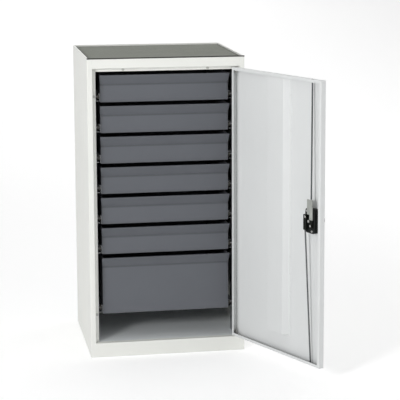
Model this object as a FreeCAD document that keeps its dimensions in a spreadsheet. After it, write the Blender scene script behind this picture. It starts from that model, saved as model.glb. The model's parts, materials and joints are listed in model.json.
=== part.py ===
import FreeCAD, Part
import math
import os
import re

import Sketcher
from FreeCAD import Placement, Rotation, Vector

# Reagent drawer cabinet: a folded steel carcass with seven roller-runner drawers behind
# one hinged door that is locked by a turn handle and two rods.
# X runs across the front, Y from the front plane to the back, Z up from the floor.
# Every piece is drawn with Y = 0 at the front plane and with its door closed; its
# Placement then moves it to the origin at the middle of the base, with the door open.

doc = FreeCAD.newDocument("reagent_drawer_cabinet")

# ---------------------------------------------------------------- driving dimensions

DIMENSIONS = [
    ("width", 520.0),              # outside of the cabinet
    ("depth", 480.0),
    ("height", 1000.0),
    ("sheet", 1.2),                # carcass and door steel
    ("thin_sheet", 1.0),           # drawer steel
    ("fold_inside", 1.2),          # inside radius of the carcass and door folds
    ("seam", 2.0),                 # how far the header and plinth reach past a stile fold
    ("stile_face", 18.0),          # width of the front face of a stile
    ("header_face", 34.0),         # height of the front face above the door
    ("plinth_face", 48.0),         # height of the front face below the door
    ("rebate_depth", 24.0),        # how deep the door sits in its frame
    ("stop_flange", 12.0),         # flange that the closed door faces
    ("return_flange", 18.0),       # last fold of the stiles and header
    ("rear_flange", 20.0),         # flange that carries the back panel
    ("skirt", 12.0),               # last fold of the plinth, behind the door
    ("floor_flange", 15.0),        # return flange that the floor panel stands on
    ("rim_width", 4.0),            # top face of the rim around the mat
    ("rim_height", 10.0),          # depth of the recess in the top
    ("mat_thickness", 5.0),
    ("mat_clearance", 1.0),
    ("mat_corner", 6.0),
    ("upright_width", 40.0),       # perforated posts that carry the runners
    ("front_upright_setback", 62.0),
    ("rear_upright_gap", 37.8),    # between the rear uprights and the back panel
    ("upright_slot_width", 4.0),
    ("upright_slot_height", 20.0),
    ("upright_slot_pitch", 51.0),
    ("back_margin", 6.0),          # floor to the lower edge of the back panel
    ("back_bead_width", 26.0),     # pressed stiffening beads of the back panel
    ("back_bead_depth", 5.0),
    ("back_bead_offset", 110.0),
    # door
    ("door_thickness", 20.0),
    ("door_lip", 10.0),            # inward lip behind the folded door edges
    ("door_side_gap", 2.0),
    ("door_hinge_gap", 3.0),
    ("door_top_gap", 3.0),
    ("door_bottom_gap", 3.0),
    ("door_open_angle", 114.0),
    ("hinge_inset", 9.0),          # pin axis from the rebate wall
    ("hinge_setback", 6.0),        # pin axis behind the front plane
    ("hinge_pin_radius", 3.0),
    ("hinge_pin_reach", 18.0),     # length of a pin inside the door
    ("hinge_collar_radius", 5.5),
    ("hinge_head_radius", 3.5),
    ("hinge_head_height", 3.0),
    ("hinge_collar_height", 1.5),
    ("bush_wall", 1.2),
    ("bush_flange_radius", 5.5),
    ("bush_stand", 1.0),           # bush past its bracket plate
    ("running_clearance", 0.3),
    ("seat_clearance", 0.1),       # a fixed round piece in its hole
    ("bracket_thickness", 3.0),    # plates that stiffen the door at its pins
    ("bracket_length", 46.0),
    ("hat_top_width", 83.0),       # stiffener down the middle of the door
    ("hat_base_width", 113.0),
    ("hat_depth", 16.0),
    ("hat_foot", 12.0),
    ("hat_top_margin", 11.0),      # door end to stiffener end
    ("hat_bottom_margin", 66.0),
    ("buffer_radius", 4.5),
    ("buffer_margin", 90.0),
    # lock, handle and rods
    ("lock_inset", 53.0),          # lock axis from the free edge of the door
    ("lock_level", 517.0),         # lock axis above the floor
    ("lock_case_width", 48.0),
    ("lock_case_height", 78.0),
    ("lock_case_depth", 19.0),
    ("lock_case_corner", 9.0),
    ("lock_case_chamfer", 2.5),
    ("spindle_radius", 6.0),
    ("spindle_hole_clearance", 2.0),
    ("cam_seat_radius", 4.2),      # reduced end of the spindle that carries the cam
    ("cam_thickness", 2.5),
    ("cam_width", 15.0),
    ("cam_radius", 18.0),          # drive pins from the lock axis
    ("cam_swing", 90.0),           # handle turn, equal each side of level
    ("drive_pin_radius", 2.5),
    ("drive_slack", 0.9),          # slot over the drive pin, each side
    ("drive_head", 1.6),           # how far a drive pin head reaches past the pin
    ("plate_gap", 1.2),            # cam to the flat end of a rod, which closes in as the rod slides
    ("rod_radius", 2.5),
    ("rod_setback", 12.0),         # rod ends behind the front plane
    ("rod_start", 16.0),           # foot of the round bar, from the lock axis
    ("rod_plate_width", 16.0),     # flat end of a rod, round its slot
    ("upper_plate_reach", 70.0),   # its far end from the lock axis
    ("lower_plate_reach", 30.0),
    ("rod_plate_corner", 3.0),
    ("slot_margin", 4.0),          # plate beyond the slot
    ("yoke_width", 28.0),          # the upper rod's flat end above the lower rod's
    ("yoke_gap", 2.0),
    ("rod_recess", 2.0),           # retracted rod end inside the door end
    ("rod_hole_clearance", 0.9),
    ("guide_wall", 1.3),           # bushes in the door ends that the rods slide through
    ("guide_flange_radius", 6.4),
    ("guide_flange_height", 2.0),
    ("rose_radius", 26.0),
    ("rose_thickness", 4.0),
    ("rose_chamfer", 1.5),
    ("hub_radius", 17.0),
    ("hub_height", 24.0),
    ("lever_length", 92.0),
    ("lever_width", 20.0),
    ("lever_root", 27.0),          # width of the lever at the hub's middle
    ("lever_tip_radius", 9.0),
    ("lever_thickness", 12.0),
    ("cylinder_radius", 7.0),
    ("cylinder_length", 14.0),
    ("key_slot_width", 1.6),
    ("key_slot_length", 8.0),
    ("key_slot_depth", 6.0),
    # drawers
    ("small_drawers", 6.0),
    ("large_modules", 2.0),        # height of the large drawer in modules
    ("free_bay", 88.0),            # room between the floor panel and the lowest drawer
    ("drawer_gap", 11.0),          # front to front
    ("first_lip_drop", 59.0),      # top of the cabinet to the first lip
    ("front_setback", 50.0),       # drawer fronts behind the front plane
    ("runner_space", 17.0),        # from a drawer's side to the uprights
    ("lip_rise", 31.0),            # leaning grip along the top of a front
    ("lip_reach", 18.0),           # how far the grip leans forward
    ("lip_flare", 3.0),            # how far the grip is wider at each end
    ("lip_hem", 8.0),
    ("front_flange", 12.0),
    ("tray_back_gap", 26.8),       # between a drawer and the back panel
    ("tray_hem_width", 3.0),
    ("tray_hem_depth", 7.0),
    ("tray_top_drop", 1.2),        # sides of a tray below the top of its front
    ("rear_wall_drop", 12.0),      # rear wall lower than the sides
    ("tray_front_gap", 0.4),       # between a tray's sides and the back of its front
    ("drawer_travel", 255.0),
    # roller runners
    ("roller_radius", 9.0),
    ("roller_width", 7.0),
    ("roller_axle_radius", 2.5),
    ("roller_bore_clearance", 0.3),
    ("rear_roller_standoff", 2.0),  # from the web of the rail that carries the roller
    ("front_roller_standoff", 6.0),
    ("roller_mouth", 2.0),         # opening in the fixed rail behind the front roller
    ("roller_head", 1.5),          # how far an axle head reaches past the axle
    ("roller_head_height", 1.0),
    ("rail_level", 5.0),           # track face above the lower edge of the front
    ("rail_side_gap", 5.2),        # between a drawer's side and the flanges of its fixed rail
    ("rail_front", 54.0),          # ends of the fixed rails behind the front plane
    ("rail_back_gap", 8.0),
    ("rail_headroom", 1.5),        # over the rear roller
    ("front_roller_inset", 14.0),  # roller axis behind the front end of the fixed rail
    ("rear_roller_inset", 20.0),   # roller axis before the rear end of the tray
    ("glide_flange", 5.0),         # outward flange of the drawer's own rail
    ("glide_gap", 1.3),            # over the fixed rail
    ("stop_height", 7.0),
    ("stop_clearance", 0.4),
]

dims = doc.addObject("Spreadsheet::Sheet", "dims")
for row, (alias, size) in enumerate(DIMENSIONS, start=1):
    dims.set(f"A{row}", alias.replace("_", " "))
    dims.set(f"B{row}", str(size))
    dims.setAlias(f"B{row}", alias)
doc.recompute()

# Sizes that follow from the driving ones, written once as expressions over the sheet.
DERIVED = {
    "half_width": "width / 2",
    "inner_half": "half_width - sheet",
    "rebate_half": "half_width - stile_face",
    "opening_half": "rebate_half - stop_flange",
    "rebate_top": "height - header_face",
    "opening_top": "rebate_top - stop_flange",
    "carcass_top": "height - sheet",
    "back_inside": "depth - sheet - thin_sheet",
    "rear_upright_setback": "back_inside - rear_upright_gap - upright_width",
    "door_left": "-rebate_half + door_side_gap",
    "door_right": "rebate_half - door_hinge_gap",
    "door_bottom": "plinth_face + door_bottom_gap",
    "door_top": "rebate_top - door_top_gap",
    "hinge_x": "rebate_half - hinge_inset",
    "lock_x": "door_left + lock_inset",
    "case_face": "sheet + lock_case_depth",
    "cam_back": "case_face + running_clearance",
    "cam_front": "cam_back + cam_thickness",
    "plate_back": "cam_front + plate_gap",
    "plate_middle": "plate_back + cam_thickness / 2",
    "pin_end": "plate_back + cam_thickness + running_clearance + thin_sheet",
    "rod_travel": "2 * cam_radius * sin(cam_swing * 1 deg / 2)",
    "rod_offset": "cam_radius * (1 + cos(cam_swing * 1 deg / 2)) / 2",
    "rod_hole": "rod_radius + rod_hole_clearance",
    "guide_radius": "rod_hole + guide_wall",
    "slot_half": "drive_pin_radius + drive_slack",
    "rod_plate_tail": "rod_travel / 2 + slot_half + slot_margin",
    "front_half": "opening_half - runner_space",
    "lip_half": "front_half + lip_flare",
    "first_lip": "height - first_lip_drop",
    "module_height": "(first_lip + drawer_gap - plinth_face - free_bay) / (small_drawers + large_modules)",
    "tray_back": "back_inside - tray_back_gap",
    "front_roller_y": "rail_front + front_roller_inset",
    "rear_roller_y": "tray_back - rear_roller_inset",
    "rail_back": "back_inside - rail_back_gap",
    "glide_outside": "front_half + sheet",
    "rail_inside": "opening_half - sheet",
    "rail_height": "2 * roller_radius + rail_headroom + 2 * sheet",
    "glide_level": "rail_level - sheet + rail_height + glide_gap",
}


def tie(text):
    """The expression with every size written out over the sheet's cells."""
    cells = {alias for alias, _ in DIMENSIONS}

    def written_out(match):
        word = match.group(0)
        if word in DERIVED:
            return "(" + tie(DERIVED[word]) + ")"
        return "dims." + word if word in cells else word

    return re.sub(r"[A-Za-z_]\w*", written_out, str(text))


def value(text):
    """The number that an expression over the sizes stands for."""
    found = dims.evalExpression(tie(text))
    return float(found.Value) if hasattr(found, "Value") else float(found)


# ---------------------------------------------------------------- drawing helpers

PAST = 1  # how far a cut runs past the skin that it opens
PLANES = {"XY": "XY_Plane", "XZ": "XZ_Plane", "YZ": "YZ_Plane"}


def origin_feature(body, role):
    return next(part for part in body.Origin.OriginFeatures if part.Role == role)


def sketch_on(body, name, plane, start):
    """An empty sketch parallel to an origin plane, at a distance along X, Y or Z."""
    sketch = body.newObject("Sketcher::SketchObject", name)
    sketch.AttachmentSupport = (origin_feature(body, PLANES[plane]), [""])
    sketch.MapMode = "FlatFace"
    along_normal = f"-({start})" if plane == "XZ" else start
    sketch.setExpression("AttachmentOffset.Base.z", tie(along_normal))
    return sketch


def draw_outline(sketch, points):
    """A closed outline whose corners are tied to the sizes."""
    places = [Vector(value(u), value(v), 0) for u, v in points]
    first = sketch.GeometryCount
    count = len(points)
    for index in range(count):
        sketch.addGeometry(Part.LineSegment(places[index], places[(index + 1) % count]), False)
    for index, (u, v) in enumerate(points):
        line = first + index
        previous = first + (index - 1) % count
        sketch.addConstraint(Sketcher.Constraint("Coincident", previous, 2, line, 1))
        for kind, place, text in (("DistanceX", places[index].x, u), ("DistanceY", places[index].y, v)):
            number = sketch.addConstraint(Sketcher.Constraint(kind, -1, 1, line, 1, place))
            sketch.setExpression(f"Constraints[{number}]", tie(text))


def draw_circle(sketch, u, v, radius):
    """A circle whose centre and radius are tied to the sizes."""
    centre = Vector(value(u), value(v), 0)
    circle = sketch.addGeometry(Part.Circle(centre, Vector(0, 0, 1), value(radius)), False)
    for kind, place, text in (("DistanceX", centre.x, u), ("DistanceY", centre.y, v)):
        number = sketch.addConstraint(Sketcher.Constraint(kind, -1, 1, circle, 3, place))
        sketch.setExpression(f"Constraints[{number}]", tie(text))
    number = sketch.addConstraint(Sketcher.Constraint("Radius", circle, value(radius)))
    sketch.setExpression(f"Constraints[{number}]", tie(radius))


def rectangle(u_low, v_low, u_high, v_high):
    return [(u_low, v_low), (u_high, v_low), (u_high, v_high), (u_low, v_high)]


def new_body(name):
    body = doc.addObject("PartDesign::Body", name)
    body.Label = name
    return body


def extrude(body, kind, name, plane, start, length, outlines=(), circles=()):
    """A Pad or Pocket from one level to the next along the plane's own axis."""
    sketch = sketch_on(body, name + "_sketch", plane, start)
    for points in outlines:
        draw_outline(sketch, points)
    for circle in circles:
        draw_circle(sketch, *circle)
    feature = body.newObject("PartDesign::" + kind, name)
    feature.Profile = sketch
    feature.setExpression("Length", tie(length))
    towards_plus = plane != "XZ"
    feature.Reversed = towards_plus == (kind == "Pocket")
    before = body.Shape.Volume if kind == "Pocket" else None
    doc.recompute()
    if before is not None and body.Shape.Volume > before - 1e-3:
        raise RuntimeError(f"{name} of {body.Label} cuts nothing")
    return feature


def pad(body, name, plane, start, length, outlines=(), circles=()):
    return extrude(body, "Pad", name, plane, start, length, outlines, circles)


def pocket(body, name, plane, start, length, outlines=(), circles=()):
    return extrude(body, "Pocket", name, plane, start, length, outlines, circles)


def edges_at(feature, sketch, corners):
    """Names of the straight edges that rise from the sketch at the given corners."""
    place = sketch.getGlobalPlacement()
    rise = place.Rotation.multVec(Vector(0, 0, 1))
    spots = [place.multVec(Vector(u, v, 0)) for u, v in corners]
    names = []
    for number, edge in enumerate(feature.Shape.Edges, start=1):
        if edge.Curve.TypeId != "Part::GeomLine":
            continue
        run = edge.Vertexes[-1].Point - edge.Vertexes[0].Point
        if run.cross(rise).Length > 1e-5:
            continue
        for spot in spots:
            if (edge.Vertexes[0].Point - spot).cross(rise).Length < 1e-4:
                names.append(f"Edge{number}")
                break
    return names


def fillet(body, name, base, edges, radius):
    feature = body.newObject("PartDesign::Fillet", name)
    feature.Base = (base, edges)
    feature.setExpression("Radius", tie(radius))
    doc.recompute()
    return feature


def chamfer(body, name, base, edges, size):
    feature = body.newObject("PartDesign::Chamfer", name)
    feature.Base = (base, edges)
    feature.setExpression("Size", tie(size))
    doc.recompute()
    return feature


def edges_on_plane(feature, y):
    """Names of the edges that lie wholly at one distance behind the front plane."""
    return [
        f"Edge{number}" for number, edge in enumerate(feature.Shape.Edges, start=1)
        if abs(edge.BoundBox.YMin - value(y)) < 1e-4 and abs(edge.BoundBox.YMax - value(y)) < 1e-4
    ]


def fold(body, name, plane, start, length, path, wall, inside=None):
    """A folded sheet: path is its skin, and the sheet lies to the left of the path.

    Without an inside radius the folds are pressed sharp, as they are on small rails and trays.
    """
    places = [(value(u), value(v)) for u, v in path]
    steps = []
    for (u0, v0), (u1, v1) in zip(places, places[1:]):
        run = math.hypot(u1 - u0, v1 - v0)
        steps.append(((u1 - u0) / run, (v1 - v0) / run))
    back, outer, inner = [], [], []
    for index, (u, v) in enumerate(path):
        before = steps[max(index - 1, 0)]
        after = steps[min(index, len(steps) - 1)]
        across = 1 + before[0] * after[0] + before[1] * after[1]
        shift = (-(before[1] + after[1]) / across, (before[0] + after[0]) / across)
        back.append((f"{u} + {shift[0]:.6f} * {wall}", f"{v} + {shift[1]:.6f} * {wall}"))
        if 0 < index < len(path) - 1:
            far = tuple(place + move * value(wall) for place, move in zip(places[index], shift))
            left_turn = before[0] * after[1] - before[1] * after[0] > 0
            outer.append(places[index] if left_turn else far)
            inner.append(far if left_turn else places[index])
    sheet_pad = pad(body, name, plane, start, length, [list(path) + back[::-1]])
    sketch = sheet_pad.Profile[0]
    outer_fold = fillet(body, name + "_outer_folds", sheet_pad, edges_at(sheet_pad, sketch, outer),
                        wall if inside is None else f"{inside} + {wall}")
    if inside is None:
        return outer_fold
    return fillet(body, name + "_inner_folds", outer_fold,
                  edges_at(outer_fold, sketch, inner), inside)


def mirrored(points):
    """An outline given for one side, on the other side of the YZ plane."""
    return [(f"-({u})", v) for u, v in reversed(points)]


def primitive(kind, name, sizes, at, turn=None):
    """A Part primitive whose sizes and place are tied to the sheet."""
    solid = doc.addObject("Part::" + kind, name)
    for key, text in sizes.items():
        solid.setExpression(key, tie(text))
    if turn is not None:
        solid.Placement = Placement(Vector(), turn)
    for axis, text in zip("xyz", at):
        solid.setExpression(f"Placement.Base.{axis}", tie(text))
    return solid


def box(name, low, size):
    return primitive("Box", name, dict(zip(("Length", "Width", "Height"), size)), low)


ALONG = {
    "X": Rotation(Vector(0, 1, 0), 90),
    "Y": Rotation(Vector(1, 0, 0), -90),
    "Z": Rotation(),
}


def cylinder(name, start, radius, length, axis):
    return primitive("Cylinder", name, {"Radius": radius, "Height": length}, start, ALONG[axis])


def joined(name, pieces):
    feature = doc.addObject("Part::MultiFuse", name)
    feature.Shapes = pieces
    feature.Refine = True
    return feature


def without(name, base, tool):
    feature = doc.addObject("Part::Cut", name)
    feature.Base = base
    feature.Tool = tool
    return feature


def group(name, pieces):
    """Separate solids that share one node."""
    feature = doc.addObject("Part::Compound", name)
    feature.Label = name
    feature.Links = pieces
    return feature


# ---------------------------------------------------------------- where pieces end up

TO_BASE_CENTRE = Placement(Vector(0, -value("depth / 2"), 0), Rotation())
DOOR_SWING = Placement(
    Vector(), Rotation(Vector(0, 0, 1), value("door_open_angle")),
    Vector(value("hinge_x"), value("hinge_setback"), 0),
)
NODES = []


def node(piece, name, on_door=False):
    """Keeps a finished piece as the sub-part of that name, at its place."""
    piece.Label = name
    piece.Placement = TO_BASE_CENTRE * (DOOR_SWING if on_door else Placement())
    NODES.append(piece)
    return piece


# ---------------------------------------------------------------- carcass

def side_panel(name, side):
    """Wall, rear flange, stile face, rebate wall, stop flange and last return in one sheet."""
    path = [
        ("-half_width + rear_flange", "depth"),
        ("-half_width", "depth"),
        ("-half_width", "0"),
        ("-rebate_half", "0"),
        ("-rebate_half", "rebate_depth"),
        ("-opening_half", "rebate_depth"),
        ("-opening_half", "rebate_depth + return_flange"),
    ]
    notch = rectangle("-rebate_half - seam", f"-{PAST}",
                      f"-opening_half + {PAST}", f"rebate_depth + return_flange + {PAST}")
    if side == "right":
        path, notch = mirrored(path), mirrored(notch)
    body = new_body(name)
    fold(body, "wall", "XY", "0", "carcass_top", path, "sheet", "fold_inside")
    pocket(body, "plinth_notch", "XY", f"-{PAST}", f"plinth_face + {PAST}", [notch])
    pocket(body, "header_notch", "XY", "rebate_top", "header_face", [notch])
    node(body, name)


def front_rail_ends(body, start, length):
    """Cuts the folds behind the rebate short, so that they end between the stop flanges."""
    end = rectangle("opening_half", "rebate_depth", "half_width", f"rebate_depth + return_flange + {PAST}")
    pocket(body, "corner_notches", "XY", start, length, [end, mirrored(end)])


def header():
    path = [
        ("0", "carcass_top"),
        ("0", "rebate_top"),
        ("rebate_depth", "rebate_top"),
        ("rebate_depth", "opening_top"),
        ("rebate_depth + return_flange", "opening_top"),
    ]
    body = new_body("header")
    fold(body, "face", "YZ", "-rebate_half - seam", "2 * (rebate_half + seam)", path, "sheet", "fold_inside")
    front_rail_ends(body, f"opening_top - {PAST}", "2 * stop_flange")
    pocket(body, "rod_and_pin_holes", "XY", f"rebate_top - {PAST}", f"sheet + 2 * {PAST}", circles=[
        ("lock_x", "rod_setback", "rod_hole"),
        ("hinge_x", "hinge_setback", "hinge_pin_radius + seat_clearance"),
    ])
    node(body, "header")


def plinth():
    path = [
        ("rebate_depth", "plinth_face - skirt"),
        ("rebate_depth", "plinth_face"),
        ("0", "plinth_face"),
        ("0", "0"),
        ("rear_flange", "0"),
    ]
    body = new_body("plinth")
    fold(body, "face", "YZ", "-rebate_half - seam", "2 * (rebate_half + seam)", path, "sheet", "fold_inside")
    pocket(body, "rod_and_pin_holes", "XY", f"plinth_face - sheet - {PAST}", f"sheet + 2 * {PAST}", circles=[
        ("lock_x", "rod_setback", "rod_hole"),
        ("hinge_x", "hinge_setback", "hinge_pin_radius + seat_clearance"),
    ])
    node(body, "plinth")


def floor_panel():
    """The raised floor: a pan turned over, whose skirts stand on the ground on a return flange."""
    half = "inner_half - seat_clearance"
    body = new_body("floor_panel")
    block = pad(body, "block", "XY", "0", "plinth_face",
                [rectangle(f"-({half})", "rebate_depth", half, "back_inside")])
    folds = [
        f"Edge{number}" for number, edge in enumerate(block.Shape.Edges, start=1)
        if edge.BoundBox.ZMax > value("plinth_face") - 1e-5
    ]
    fillet(body, "folds", block, folds, "fold_inside + sheet")
    inside = f"{half} - sheet"
    pocket(body, "inside", "XY", "sheet", "plinth_face - 2 * sheet", [rectangle(
        f"-({inside})", "rebate_depth + sheet", inside, "back_inside - sheet")])
    mouth = f"{half} - floor_flange"
    pocket(body, "mouth", "XY", f"-{PAST}", f"2 * sheet + {PAST}", [rectangle(
        f"-({mouth})", "rebate_depth + floor_flange", mouth, "back_inside - floor_flange")])
    node(body, "floor_panel")


def back_panel():
    """A flat sheet behind the floor pan, with two pressed beads that stand inwards."""
    half = "inner_half - fold_inside - seat_clearance"
    bead_foot = "back_margin + plinth_face + back_bead_offset"
    bead_length = "carcass_top - plinth_face - 2 * back_bead_offset - 2 * back_margin"
    skin = "back_inside"

    def bead(middle, inset):
        near = f"{middle} - back_bead_width / 2 + {inset}"
        far = f"{middle} + back_bead_width / 2 - {inset}"
        deep = f"{skin} - back_bead_depth + {inset}"
        open_side = f"{skin} + {inset}"
        return [
            (near, open_side), (f"{near} + back_bead_depth", deep),
            (f"{far} - back_bead_depth", deep), (far, open_side),
        ]

    body = new_body("back_panel")
    pad(body, "plate", "XY", "back_margin", "carcass_top - back_margin",
        [rectangle(f"-({half})", skin, half, f"{skin} + thin_sheet")])
    middles = ("-back_bead_offset", "back_bead_offset")
    pad(body, "beads", "XY", bead_foot, bead_length, [bead(x, "0") for x in middles])
    pocket(body, "bead_hollows", "XY", f"{bead_foot} + thin_sheet", f"{bead_length} - 2 * thin_sheet",
           [bead(x, "thin_sheet") for x in middles])
    node(body, "back_panel")


def top_tray():
    """The top: a sunk panel for the mat, with a raised flat rim all round."""
    recess_half = "half_width - rim_width"
    body = new_body("top_tray")
    pad(body, "rim", "XY", "carcass_top", "sheet", [rectangle("-half_width", "0", "half_width", "depth")])
    inset = "rim_width + sheet"
    pad(body, "pan", "XY", "height - rim_height - sheet", "rim_height", [
        rectangle(f"-({recess_half})", "rim_width", recess_half, "depth - rim_width")])
    pocket(body, "recess", "XY", "height - rim_height", f"rim_height + {PAST}", [
        rectangle(f"-half_width + {inset}", inset, f"half_width - ({inset})", f"depth - ({inset})")])
    node(body, "top_tray")


def top_mat():
    half = "half_width - rim_width - sheet - mat_clearance"
    inset = "rim_width + sheet + mat_clearance"
    body = new_body("top_mat")
    corners = rectangle(f"-({half})", inset, half, f"depth - {inset.replace(' + ', ' - ')}")
    mat = pad(body, "mat", "XY", "height - rim_height", "mat_thickness", [corners])
    spots = [(value(u), value(v)) for u, v in corners]
    fillet(body, "mat_corners", mat, edges_at(mat, mat.Profile[0], spots), "mat_corner")
    node(body, "top_mat")


def upright(name, setback, side):
    """A perforated channel from the floor to the top, closed by the side wall behind it."""
    path = [
        ("-inner_half", setback),
        ("-opening_half", setback),
        ("-opening_half", f"{setback} + upright_width"),
        ("-inner_half", f"{setback} + upright_width"),
    ]
    slot = rectangle(
        f"{setback} + (upright_width - upright_slot_width) / 2", "plinth_face + upright_slot_pitch",
        f"{setback} + (upright_width + upright_slot_width) / 2",
        "plinth_face + upright_slot_pitch + upright_slot_height")
    through = f"-opening_half - sheet - {PAST}" if side == "left" else f"opening_half - {PAST}"
    body = new_body(name)
    tall = "height - rim_height - sheet - plinth_face"
    fold(body, "channel", "XY", "plinth_face", tall, path if side == "left" else mirrored(path), "sheet")
    hole = pocket(body, "slot", "YZ", through, f"sheet + 2 * {PAST}", [slot])
    rows = body.newObject("PartDesign::LinearPattern", "slots")
    rows.Originals = [hole]
    rows.Direction = (origin_feature(body, "Z_Axis"), [""])
    count = f"floor(({tall}) / upright_slot_pitch) - 1"
    rows.setExpression("Occurrences", tie(count))
    rows.setExpression("Length", tie(f"({count} - 1) * upright_slot_pitch"))
    body.Tip = rows
    doc.recompute()
    return body


def uprights():
    pieces = [
        upright(f"{place}_{side}_upright", f"{place}_upright_setback", side)
        for side in ("left", "right") for place in ("front", "rear")
    ]
    node(group("uprights", pieces), "uprights")


def hinge_pins():
    """A headed pin up through the plinth, with the collar that carries the door, and one down."""
    at = ("hinge_x", "hinge_setback")
    plinth_under = "plinth_face - sheet"
    lower = joined("lower_hinge_pin", [
        cylinder("lower_pin_head", (*at, f"{plinth_under} - hinge_head_height"),
                 "hinge_head_radius", "hinge_head_height", "Z"),
        cylinder("lower_pin_shank", (*at, plinth_under), "hinge_pin_radius",
                 "sheet + door_bottom_gap + hinge_pin_reach", "Z"),
        cylinder("lower_pin_collar", (*at, "plinth_face"), "hinge_collar_radius", "hinge_collar_height", "Z"),
    ])
    upper = joined("upper_hinge_pin", [
        cylinder("upper_pin_head", (*at, "rebate_top + sheet"),
                 "hinge_head_radius", "hinge_head_height", "Z"),
        cylinder("upper_pin_shank", (*at, "door_top - hinge_pin_reach"), "hinge_pin_radius",
                 "hinge_pin_reach + door_top_gap + sheet", "Z"),
    ])
    node(group("hinge_pins", [lower, upper]), "hinge_pins")


def door_buffers():
    """Rubber studs on the stop flanges, which the lips of the closed door meet."""
    stile_middle = "-opening_half - stop_flange / 2"
    header_middle = "opening_top + stop_flange / 2"
    spots = [
        (stile_middle, "door_bottom + buffer_margin"),
        (stile_middle, "door_top - buffer_margin"),
        ("-opening_half + buffer_margin", header_middle),
        ("opening_half - buffer_margin", header_middle),
    ]
    face = "door_thickness + running_clearance"
    studs = [
        cylinder(f"buffer_{number}", (x, face, z), "buffer_radius", f"rebate_depth - ({face})", "Y")
        for number, (x, z) in enumerate(spots, start=1)
    ]
    node(group("door_buffers", studs), "door_buffers")


# ---------------------------------------------------------------- drawers and their runners

SMALL_DRAWERS = round(value("small_drawers"))


def drawer_levels(index):
    """Top of the grip, its fold, and the lower edge of the front of drawer 1, 2, 3 ..."""
    top = f"first_lip - {index - 1} * module_height"
    modules = "1" if index <= SMALL_DRAWERS else "large_modules"
    return top, f"{top} - lip_rise", f"{top} - {modules} * module_height + drawer_gap"


def drawer_name(index):
    return f"drawer_{index}" if index <= SMALL_DRAWERS else "large_drawer"


def drawer_front(name, top, fold_level, low):
    """The front sheet: hemmed grip that leans forward, flat face and a flange under the tray."""
    path = [
        ("front_setback - lip_reach + lip_hem", top),
        ("front_setback - lip_reach", top),
        ("front_setback", fold_level),
        ("front_setback", low),
        ("front_setback + front_flange", low),
    ]
    trim = [
        ("front_half", f"{low} - {PAST}"), (f"lip_half + {PAST}", f"{low} - {PAST}"),
        (f"lip_half + {PAST}", top), ("lip_half", top), ("front_half", fold_level),
    ]
    body = new_body(name)
    fold(body, "front", "YZ", "-lip_half", "2 * lip_half", path, "thin_sheet")
    pocket(body, "end_trim", "XZ", f"front_setback - lip_reach - {PAST}",
           f"lip_reach + front_flange + 2 * {PAST}", [trim, mirrored(trim)])
    node(body, name)


def drawer_tray(name, top, fold_level, low):
    """Floor and hemmed sides folded from one sheet, a lower rear wall, and cheeks in the grip."""
    floor = f"{low} + thin_sheet"
    rim = f"{top} - tray_top_drop"
    hem = "-front_half + tray_hem_width"
    left = [(hem, f"{rim} - tray_hem_depth"), (hem, rim), ("-front_half", rim), ("-front_half", floor)]
    front = "front_setback + thin_sheet + tray_front_gap"
    cheek = [
        (front, f"{fold_level} + thin_sheet / 2"),
        (front, rim),
        (f"{front} - (lip_rise - tray_top_drop) * lip_reach / lip_rise", rim),
    ]
    body = new_body(name)
    fold(body, "tray", "XZ", front, f"tray_back - ({front})", left + mirrored(left), "thin_sheet")
    pad(body, "rear_wall", "XZ", "tray_back - thin_sheet", "thin_sheet", [rectangle(
        "-front_half + thin_sheet / 2", f"{floor} + thin_sheet / 2",
        "front_half - thin_sheet / 2", f"{rim} - rear_wall_drop")])
    pad(body, "left_cheek", "YZ", "-front_half", "thin_sheet", [cheek])
    pad(body, "right_cheek", "YZ", "front_half - thin_sheet", "thin_sheet", [cheek])
    node(body, name)


def riveted_axle(name, web, standoff, towards, y, z):
    """A headed axle that stands out of a rail's web, towards +X or -X."""
    reach = f"{standoff} + roller_width + running_clearance"
    axle_start = web if towards > 0 else f"{web} - ({reach}) - roller_head_height"
    head_start = f"{web} + {reach}" if towards > 0 else f"{web} - ({reach}) - roller_head_height"
    return [
        cylinder(name, (axle_start, y, z), "roller_axle_radius", f"{reach} + roller_head_height", "X"),
        cylinder(name + "_head", (head_start, y, z), "roller_axle_radius + roller_head",
                 "roller_head_height", "X"),
    ]


def rollers(name, web, standoff, towards, y, z):
    """The left and right roller of one axis: plain nylon rings."""
    pieces = []
    for side, sign in (("left", -1), ("right", 1)):
        near = f"{sign} * ({web} + {towards} * {standoff})"
        low = near if sign * towards > 0 else f"{near} - roller_width"
        body = new_body(f"{name}_{side}")
        pad(body, "ring", "YZ", low, "roller_width",
            circles=[(y, z, "roller_radius"), (y, z, "roller_axle_radius + roller_bore_clearance")])
        pieces.append(body)
    node(group(name, pieces), name)


def glide_rails(name, low, axle_level):
    """The drawer's own rails: an angle on each side whose flange runs on the front roller."""
    top = f"{low} + glide_level + sheet"
    path = [
        ("-front_half", f"{low} + tray_top_drop + thin_sheet"),
        ("-front_half", top),
        ("-front_half - glide_flange", top),
    ]
    front = "rail_front"
    pieces = []
    for side, sign in (("left", -1), ("right", 1)):
        body = new_body(f"{name}_{side}")
        fold(body, "rail", "XZ", front, f"tray_back - {front}", path if sign < 0 else mirrored(path), "sheet")
        axle = riveted_axle(f"{name}_{side}_axle", f"{sign} * glide_outside", "rear_roller_standoff",
                            sign, "rear_roller_y", axle_level)
        pieces.append(joined(f"{name}_{side}_rail", [body, *axle]))
    node(group(name, pieces), name)


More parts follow.
